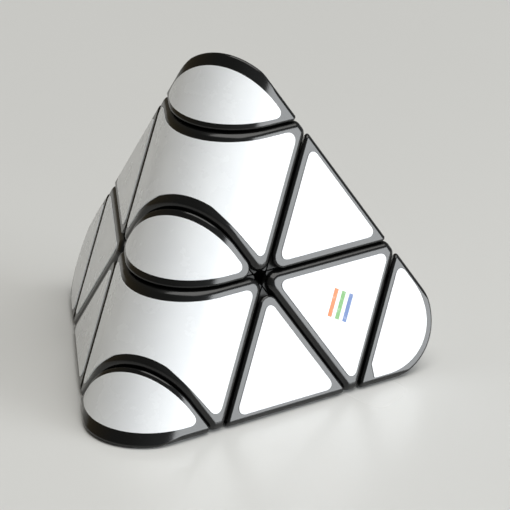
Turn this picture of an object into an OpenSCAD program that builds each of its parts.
// Pyramid twisty puzzle: a tetrahedron with two opposite edges rounded, cut into
// four tips, four axials and six edges that turn on a ball-shaped core.
//
// Frame: +Z up along the top corner's turning axis. The origin is the core's centre,
// where all four turning axes meet. The left corner lies towards -X, and the plane
// Y = 0 is a mirror plane of the body. It rests on its bottom stickers.

/* [Body] */
// Length of a tetrahedron edge before any rounding
edge_length = 98; // [94:1:104]
// Radius that rounds the top-left and the right-back edges
round_radius = 14; // [12:0.5:16]
// Wall of the outer shells
shell_wall = 1.6; // [1.4:0.1:2]
// Wall of the inner halves behind the shells
inner_wall = 1.4; // [1.2:0.1:1.8]

/* [Cuts] */
// Distance from the core's centre to each layer's cut
layer_cut = 7; // [6.7:0.1:7.4]
// Distance from the core's centre to each tip's cut
tip_cut = 34.2; // [33.6:0.1:34.6]
// Clearance between pieces that turn on each other
gap = 0.3; // [0.2:0.05:0.4]
// Radius of the opening at the centre of each face, where six pieces' corners meet
centre_radius = 1.5; // [1:0.1:1.8]

/* [Track] */
// Radius of the core ball
core_radius = 11; // [10.8:0.1:11.4]
// Radius of the ball-shaped track that the edge feet run in
track_radius = 16.5; // [16:0.1:17]
// Distance from the core's centre to the cuts between the feet
track_cut = 3.6; // [3.4:0.1:3.8]
// Radius of the neck that joins each edge to its foot
edge_neck_radius = 2; // [1.6:0.1:2.2]

/* [Corner stack] */
// Diameter of the corner screws' shanks
screw_diameter = 2; // [1.8:0.1:2.2]
// Length of the corner screws under the head
screw_length = 16; // [15:0.5:17]
// Diameter of the screw heads
head_diameter = 3.8; // [3.6:0.1:4]
// Thickness of the screw heads
head_height = 1.3; // [1.1:0.1:1.5]
// Thickness of the washer under each screw head
washer_height = 0.3; // [0.2:0.1:0.5]
// Wire diameter of the corner springs
spring_wire = 0.4; // [0.3:0.05:0.45]
// Number of turns in each corner spring
spring_turns = 5; // [4:1:7]
// Outer radius of the posts that stand on the core
post_radius = 2.4; // [2.2:0.1:2.6]

/* [Stickers] */
// Thickness of a sticker
sticker_height = 0.2; // [0.1:0.05:0.3]
// Distance from a layer's cut to a sticker's edge
cut_margin = 1.7; // [1.4:0.1:2.2]
// Distance from a tip's cut to a sticker's edge
tip_margin = 1.4; // [1.2:0.1:2]
// Distance from a sharp outer edge to the edge of a flat sticker
edge_margin = 2.1; // [1.6:0.1:2.4]
// Distance from a sharp outer edge to the edge of a sticker that wraps a rounded edge
brim_margin = 2.8; // [1.8:0.1:3.4]
// Distance from a rounded outer edge to the edge of a tip's flat sticker
arc_margin = 1.8; // [1.4:0.1:2.4]

/* [Hidden] */
CORNERS = ["top", "left", "right", "back"];
TOP = 0;
LEFT = 1;
RIGHT = 2;
BACK = 3;
// Each face is named after where it looks, and numbered after the corner opposite it
FACES = ["bottom", "side", "rear", "front"];
EDGES = [[TOP, LEFT], [RIGHT, BACK], [TOP, RIGHT], [TOP, BACK], [LEFT, RIGHT], [LEFT, BACK]];
ROUND_EDGES = [0, 1];
SHARP_EDGES = [2, 3, 4, 5];
// The corner at the other end of a corner's rounded edge
PARTNER = [LEFT, TOP, BACK, RIGHT];

black = [0.05, 0.05, 0.055];
inner_black = [0.11, 0.11, 0.12];
steel = [0.68, 0.68, 0.7];
white = [0.93, 0.94, 0.95];

// Distance from the tetrahedron's centre to a face, and to the middle of an edge
face_distance = edge_length / sqrt(24);
edge_distance = edge_length / sqrt(8);
// Angle between two corners' axes, and half the angle between two faces
corner_tilt = acos(-1 / 3);
half_angle = asin(1 / sqrt(3));
AZIMUTH = [0, 180, -60, 60];
// Further than any point of the body, for shapes that are cut back to it
reach = 2 * edge_length;

// Walls of the corner stack
hub_floor = 1.6;
cup_floor = 1.2;
cup_wall = 0.9;
tube_wall = 1.4;
plug_floor = 1.6;
// How far the cup's wall runs into the tip's plug, and a post into the core ball
cup_root = 0.8;
post_root = 3;
// Play between the cup and the hub's floor, the spring and the screw, and round the washer's hole
cup_play = 0.1;
spring_play = 0.1;
washer_play = 0.1;
// Play between the screw's head and the cup, and under the screw's end
head_play = 0.5;
screw_end_play = 0.5;
// How far the washer reaches beyond the screw's head
washer_rim = 0.15;

// Where the corner stack's pieces lie along a corner's axis
hub_floor_low = 14.8;
hub_floor_high = hub_floor_low + hub_floor;
cup_floor_low = hub_floor_high + cup_play;
cup_floor_high = cup_floor_low + cup_floor;
head_low = 24.5;
washer_low = head_low - washer_height;
post_low = core_radius - post_root;
post_top = hub_floor_low - gap;
deck_low = 20;
tip_low = tip_cut + gap / 2;
plug_high = tip_low + plug_floor;
neck_low = 12.5;
neck_high = 22;

// Radii in the corner stack
head_radius = head_diameter / 2;
screw_radius = screw_diameter / 2;
screw_hole_radius = screw_radius + gap;
cup_inner_radius = head_radius + head_play;
cup_outer_radius = cup_inner_radius + cup_wall;
hub_bore_radius = cup_outer_radius + gap;
hub_tube_radius = hub_bore_radius + tube_wall;
spring_radius = head_radius - spring_wire / 2 - spring_play;
washer_radius = head_radius + washer_rim;

// The cross recess in a screw's head
recess_length = 1.2 * head_radius;
recess_width = 0.4;
recess_floor = 0.4 * head_height;

// The names of an edge, and of the two faces that meet at it
function edge_name(e) = str(CORNERS[EDGES[e][0]], "_", CORNERS[EDGES[e][1]]);
function edge_faces(e) = [for (k = [0:3]) if (k != EDGES[e][0] && k != EDGES[e][1]) k];

// Unit vector from the core's centre to corner i
function axis_of(i) = i == TOP
    ? [0, 0, 1]
    : [sin(corner_tilt) * cos(AZIMUTH[i]), sin(corner_tilt) * sin(AZIMUTH[i]), cos(corner_tilt)];

// Puts a child's +Z along the axis of corner i, from the core's centre outwards
module along(i) {
    rotate([0, i == TOP ? 0 : corner_tilt, AZIMUTH[i]])
        children();
}

// All points between two distances from the core's centre along the axis of corner i
module slab(i, low, high) {
    along(i)
        translate([-reach / 2, -reach / 2, low])
            cube([reach, reach, high - low]);
}

// Outline across the top-left edge: two faces and the arc that joins them, with the
// core's centre at the origin and every surface moved inwards by inset
module wedge_outline(inset) {
    radius = round_radius - inset;
    arc_height = edge_distance - round_radius / sin(half_angle);
    touch = [radius * cos(half_angle), arc_height + radius * sin(half_angle)];
    foot = touch + reach * [sin(half_angle), -cos(half_angle)];
    translate([0, arc_height])
        circle(r = radius, $fn = 96);
    polygon([touch, [-touch.x, touch.y], [-foot.x, foot.y], foot]);
}

// The space under one rounded edge: 0 is the top-left edge. A half turn about the
// middle of the top-right edge brings it to the right-back edge, which is 1
module wedge(which, inset) {
    rotate(a = 180 * which, v = axis_of(TOP) + axis_of(RIGHT))
        rotate([0, half_angle, 0])
            rotate([0, 0, 90])
                linear_extrude(height = reach, center = true)
                    wedge_outline(inset);
}

// The whole body with every outer surface moved inwards by inset
module body(inset = 0) {
    intersection() {
        wedge(0, inset);
        wedge(1, inset);
    }
}

module ball(radius) {
    sphere(r = radius, $fn = 96);
}

// The openings at the centres of the four faces, down to the track
module centre_openings() {
    for (i = [0:3])
        along(i)
            translate([0, 0, -reach])
                cylinder(r = centre_radius, h = reach - track_radius - gap / 2, $fn = 48);
}

// The space between the planes that bound one axial, moved inwards by inset, and by
// tip_inset at the tip's cut
module axial_space(i, inset, tip_inset) {
    intersection() {
        slab(i, layer_cut + inset, tip_cut - tip_inset);
        slab((i + 1) % 4, -reach, layer_cut - inset);
        slab((i + 2) % 4, -reach, layer_cut - inset);
        slab((i + 3) % 4, -reach, layer_cut - inset);
    }
}

// The space between the planes that bound one edge, moved inwards by inset
module edge_space(e, inset) {
    intersection() {
        slab(EDGES[e][0], layer_cut + inset, reach);
        slab(EDGES[e][1], layer_cut + inset, reach);
    }
}

// Ring-shaped outer shell of one axial, with three outer faces
module axial_shell(i) {
    color(black)
        difference() {
            intersection() {
                body();
                axial_space(i, gap / 2, gap / 2);
            }
            body(shell_wall);
            centre_openings();
        }
}

// Inner half of one axial: walls along the cuts, a deck that joins them to the tube
// for the tip's cup, and the hub that turns on the core
module axial_hub(i) {
    color(inner_black)
        difference() {
            union() {
                difference() {
                    intersection() {
                        body(shell_wall);
                        axial_space(i, gap / 2, gap / 2);
                    }
                    intersection() {
                        body(shell_wall);
                        axial_space(i, gap / 2 + inner_wall, gap / 2 + inner_wall);
                    }
                    ball(track_radius + gap / 2);
                }
                intersection() {
                    body(shell_wall);
                    axial_space(i, gap / 2, gap / 2);
                    slab(i, deck_low, deck_low + inner_wall);
                }
                intersection() {
                    body(shell_wall);
                    along(i)
                        cylinder(r = hub_tube_radius, h = tip_cut - gap / 2, $fn = 64);
                }
                intersection() {
                    ball(track_radius - gap / 2);
                    slab(i, track_cut + gap / 2, track_radius);
                    slab((i + 1) % 4, -reach, track_cut - gap / 2);
                    slab((i + 2) % 4, -reach, track_cut - gap / 2);
                    slab((i + 3) % 4, -reach, track_cut - gap / 2);
                }
            }
            ball(core_radius + gap);
            centre_openings();
            along(i) {
                cylinder(r = post_radius + gap, h = hub_floor_low, $fn = 48);
                cylinder(r = screw_hole_radius, h = tip_cut, $fn = 48);
                translate([0, 0, hub_floor_high])
                    cylinder(r = hub_bore_radius, h = tip_cut, $fn = 48);
            }
        }
}

// Outer shell of one tip, open towards its cut
module tip_cap(i) {
    color(black)
        difference() {
            intersection() {
                body();
                slab(i, tip_low, reach);
            }
            body(shell_wall);
        }
}

// Plug that closes one tip, with the cup that holds the spring and the screw's head
module tip_base(i) {
    color(inner_black)
        difference() {
            union() {
                intersection() {
                    body(shell_wall);
                    slab(i, tip_low, plug_high);
                }
                along(i)
                    translate([0, 0, cup_floor_low])
                        cylinder(r = cup_outer_radius, h = tip_low + cup_root - cup_floor_low, $fn = 48);
            }
            along(i) {
                cylinder(r = screw_hole_radius, h = tip_cut, $fn = 48);
                translate([0, 0, cup_floor_high])
                    cylinder(r = cup_inner_radius, h = tip_cut, $fn = 48);
            }
        }
}

// Outer shell of one edge, with two outer faces
module edge_shell(e) {
    color(black)
        difference() {
            intersection() {
                body();
                edge_space(e, gap / 2);
            }
            body(shell_wall);
            centre_openings();
        }
}

// Inner half of one edge: walls along the cuts, and the foot that runs in the track
module edge_foot(e) {
    others = edge_faces(e);
    color(inner_black)
        union() {
            difference() {
                intersection() {
                    body(shell_wall);
                    edge_space(e, gap / 2);
                }
                intersection() {
                    body(shell_wall);
                    edge_space(e, gap / 2 + inner_wall);
                }
                ball(track_radius + gap / 2);
                centre_openings();
            }
            difference() {
                intersection() {
                    ball(track_radius - gap / 2);
                    slab(EDGES[e][0], track_cut + gap / 2, track_radius);
                    slab(EDGES[e][1], track_cut + gap / 2, track_radius);
                    slab(others[0], -reach, track_cut - gap / 2);
                    slab(others[1], -reach, track_cut - gap / 2);
                }
                ball(core_radius + gap);
            }
            edge_neck(e);
        }
}

// The round neck between an edge's foot and its walls
module edge_neck(e) {
    middle = axis_of(EDGES[e][0]) + axis_of(EDGES[e][1]);
    tilt = acos(middle.z / norm(middle));
    rotate([0, tilt, atan2(middle.y, middle.x)])
        translate([0, 0, neck_low])
            cylinder(r = edge_neck_radius, h = neck_high - neck_low, $fn = 48);
}

// Core ball with four posts, each with a hole for its corner's screw
module core() {
    color(inner_black)
        difference() {
            union() {
                ball(core_radius);
                for (i = [0:3])
                    along(i)
                        translate([0, 0, post_low])
                            cylinder(r = post_radius, h = post_top - post_low, $fn = 48);
            }
            for (i = [0:3])
                along(i)
                    translate([0, 0, head_low - screw_length - screw_end_play])
                        cylinder(r = screw_radius, h = screw_length, $fn = 32);
        }
}

// Four screws, each with a cross recess in its head
module corner_screws() {
    color(steel)
        for (i = [0:3])
            along(i)
                difference() {
                    union() {
                        translate([0, 0, head_low - screw_length])
                            cylinder(r = screw_radius, h = screw_length, $fn = 32);
                        translate([0, 0, head_low])
                            cylinder(r = head_radius, h = head_height, $fn = 48);
                    }
                    for (turn = [0, 90])
                        rotate([0, 0, turn])
                            translate([-recess_length / 2, -recess_width / 2, head_low + recess_floor])
                                cube([recess_length, recess_width, head_height]);
                }
}

module spring_washers() {
    color(steel)
        for (i = [0:3])
            along(i)
                translate([0, 0, washer_low])
                    difference() {
                        cylinder(r = washer_radius, h = washer_height, $fn = 48);
                        translate([0, 0, -washer_height])
                            cylinder(r = screw_radius + washer_play, h = 3 * washer_height, $fn = 48);
                    }
}

// A wire swept along a helix between the cup's floor and the washer
module corner_spring() {
    sides = 6;
    rings = 12 * spring_turns;
    radius = spring_wire / 2;
    low = cup_floor_high + radius;
    rise = washer_low - radius - low;
    points = [
        for (k = [0:rings])
            for (s = [0:sides - 1])
                let (
                    turn = 360 * spring_turns * k / rings,
                    across = spring_radius + radius * cos(360 * s / sides),
                    height = low + rise * k / rings + radius * sin(360 * s / sides)
                )
                [across * cos(turn), across * sin(turn), height]
    ];
    sides_faces = [
        for (k = [0:rings - 1])
            for (s = [0:sides - 1])
                let (a = k * sides + s, b = k * sides + (s + 1) % sides)
                each [[a, a + sides, b], [b, a + sides, b + sides]]
    ];
    first_end = [for (s = [0:sides - 1]) s];
    last_end = [for (s = [0:sides - 1]) (rings + 1) * sides - 1 - s];
    polyhedron(points = points, faces = concat([first_end], sides_faces, [last_end]));
}

module corner_springs() {
    color(steel)
        for (i = [0:3])
            along(i)
                corner_spring();
}

// The thin layer on a rounded edge's arc and its two faces
module wrap_layer(which) {
    difference() {
        wedge(which, -sticker_height);
        wedge(which, 0);
    }
}

// The thin layer on the flat face opposite corner f
module face_layer(f) {
    slab(f, -face_distance - sticker_height, -face_distance);
}

module tip_wrap_sticker(i) {
    color(white)
        intersection() {
            wrap_layer(i < RIGHT ? 0 : 1);
            slab(i, tip_low + tip_margin, reach);
            slab(PARTNER[i], brim_margin - face_distance, reach);
        }
}

module tip_flat_sticker(i) {
    color(white)
        intersection() {
            face_layer(PARTNER[i]);
            slab(i, tip_low + tip_margin, reach);
            wedge(i < RIGHT ? 0 : 1, arc_margin);
        }
}

module axial_wrap_sticker(i) {
    color(white)
        intersection() {
            wrap_layer(i < RIGHT ? 0 : 1);
            axial_space(i, gap / 2 + cut_margin, gap / 2 + tip_margin);
            slab(PARTNER[i], brim_margin - face_distance, reach);
        }
}

module axial_flat_sticker(i) {
    color(white)
        intersection() {
            face_layer(PARTNER[i]);
            axial_space(i, gap / 2 + cut_margin, gap / 2 + tip_margin);
            wedge(i < RIGHT ? 0 : 1, arc_margin);
        }
}

module round_edge_sticker(e) {
    color(white)
        intersection() {
            wrap_layer(e);
            edge_space(e, gap / 2 + cut_margin);
        }
}

// Sticker of a sharp edge on face f, where other is the edge's second face
module sharp_edge_sticker(e, f, other) {
    color(white)
        intersection() {
            face_layer(f);
            edge_space(e, gap / 2 + cut_margin);
            slab(other, edge_margin - face_distance, reach);
        }
}

core();
corner_screws();
corner_springs();
spring_washers();

for (i = [0:3]) {
    axial_shell(i);
    axial_hub(i);
    tip_cap(i);
    tip_base(i);
    tip_wrap_sticker(i);
    tip_flat_sticker(i);
    axial_wrap_sticker(i);
    axial_flat_sticker(i);
}

for (e = [0:5]) {
    edge_shell(e);
    edge_foot(e);
}

for (e = ROUND_EDGES)
    round_edge_sticker(e);

for (e = SHARP_EDGES)
    for (k = [0, 1])
        sharp_edge_sticker(e, edge_faces(e)[k], edge_faces(e)[1 - k]);
